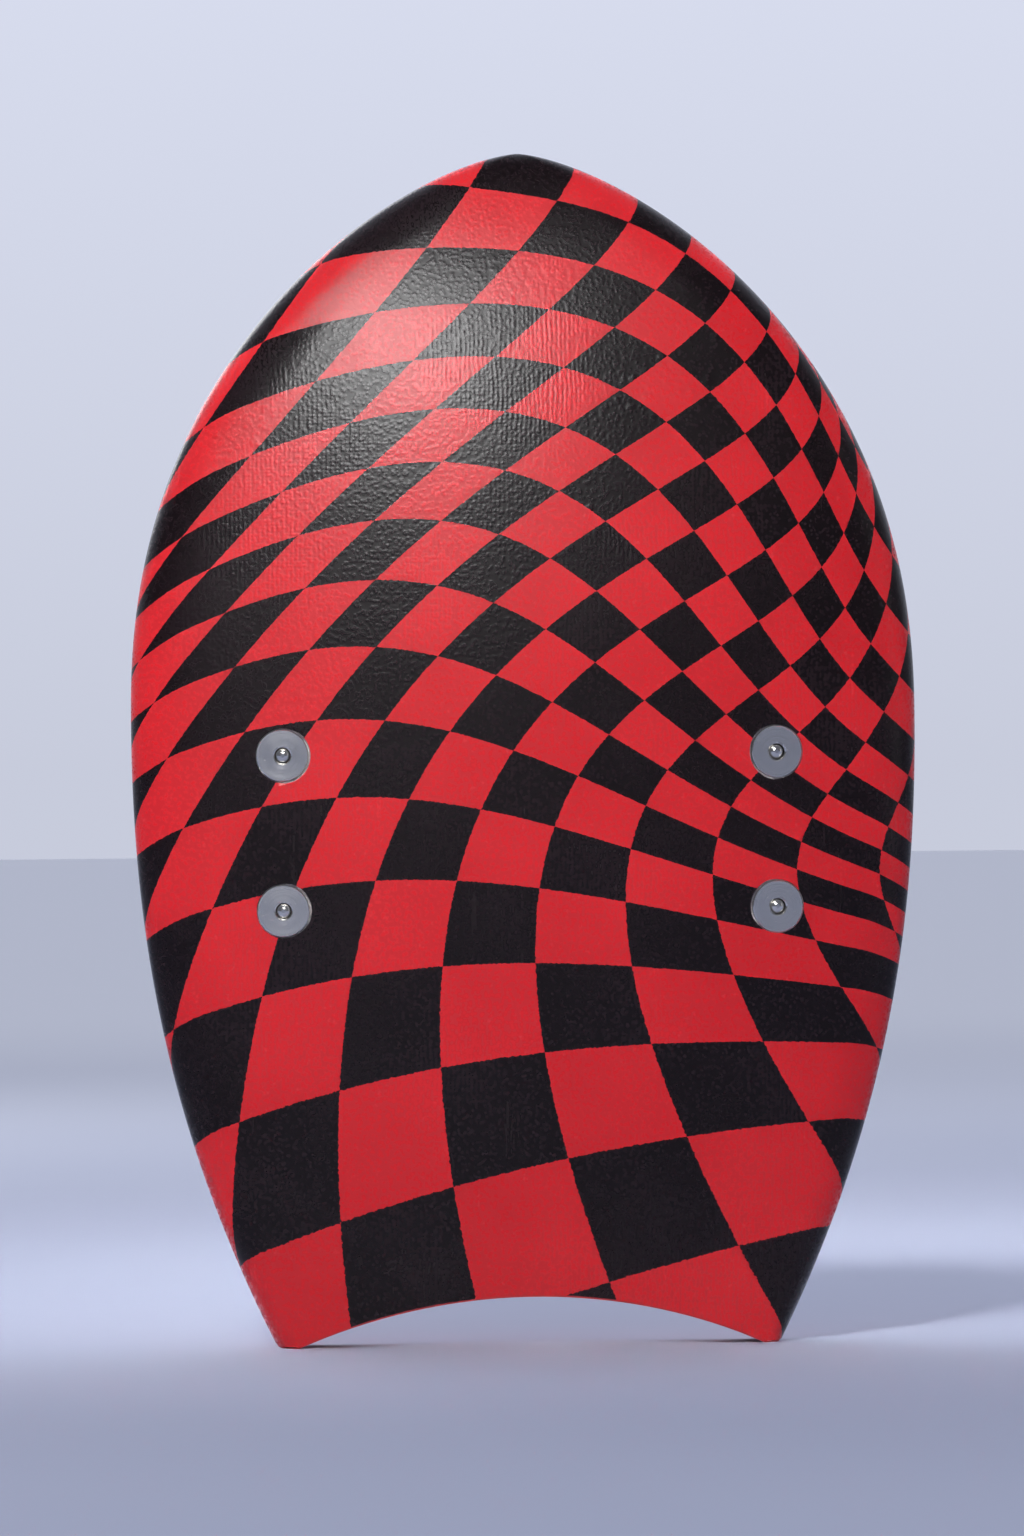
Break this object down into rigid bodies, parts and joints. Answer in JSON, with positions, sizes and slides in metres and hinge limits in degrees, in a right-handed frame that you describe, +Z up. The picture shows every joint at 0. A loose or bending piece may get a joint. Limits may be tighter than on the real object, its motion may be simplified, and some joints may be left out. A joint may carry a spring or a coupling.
{
  "type": "handheld bodyboard",
  "caption": "Hand-strapped bodyboard with a rounded point nose, crescent tail, crowned checker-print bottom, rolled rails and a hook-and-loop hand strap.",
  "frame": {"origin": "middle of the base of the standing board, level with the lowest points of the two tail tips", "axes": "+Z up the board from tail to nose, +X across the board, the printed bottom faces -Y and the deck with its strap faces +Y"},
  "size_m": [0.25, 0.0928, 0.3779],
  "materials": {
    "foam": "matte",
    "printed_skin": "satin",
    "deck_foam": "matte",
    "tail_sheet": "satin",
    "palm_foam": "matte",
    "turned_steel": "satin",
    "screw_steel": "polished",
    "tube_nylon": "matte",
    "plate_nylon": "matte",
    "webbing": "matte",
    "neoprene": "matte",
    "hook_and_loop": "matte"
  },
  "bodies": {
    "board": {"bottom_skin": "printed_skin", "clamp_plate_left": "plate_nylon", "clamp_plate_right": "plate_nylon", "clamp_screw_left_front": "screw_steel", "clamp_screw_left_rear": "screw_steel", "clamp_screw_right_front": "screw_steel", "clamp_screw_right_rear": "screw_steel", "deck_skin": "deck_foam", "flange_nut_left_front": "turned_steel", "flange_nut_left_rear": "turned_steel", "flange_nut_right_front": "turned_steel", "flange_nut_right_rear": "turned_steel", "foam_core": "foam", "palm_pad": "palm_foam", "spacer_tube_left_front": "tube_nylon", "spacer_tube_left_rear": "tube_nylon", "spacer_tube_right_front": "tube_nylon", "spacer_tube_right_rear": "tube_nylon", "strap_anchor_left": "webbing", "strap_anchor_right": "webbing", "tail_panel": "tail_sheet"},
    "strap_over_half": {"strap_over": "webbing", "hook_patch": "hook_and_loop", "pull_tab": "webbing"},
    "strap_under_half": {"strap_under": "webbing", "loop_patch": "hook_and_loop", "strap_pad": "neoprene"}
  },
  "joints": [
    {"name": "strap_peel", "type": "hinge", "parent": "board", "child": "strap_over_half", "pos_m": [0.06393, -0.00038, 0.16305], "axis": [0, 0.006, -1], "range_deg": [0, 100]},
    {"name": "strap_spread", "type": "hinge", "parent": "board", "child": "strap_under_half", "pos_m": [-0.05903, -0.00038, 0.16305], "axis": [0, -0.006, 1], "range_deg": [0, 30]}
  ],
  "couplings": [
    {"joint": "strap_spread", "follows": "strap_peel", "ratio": 0.3}
  ]
}
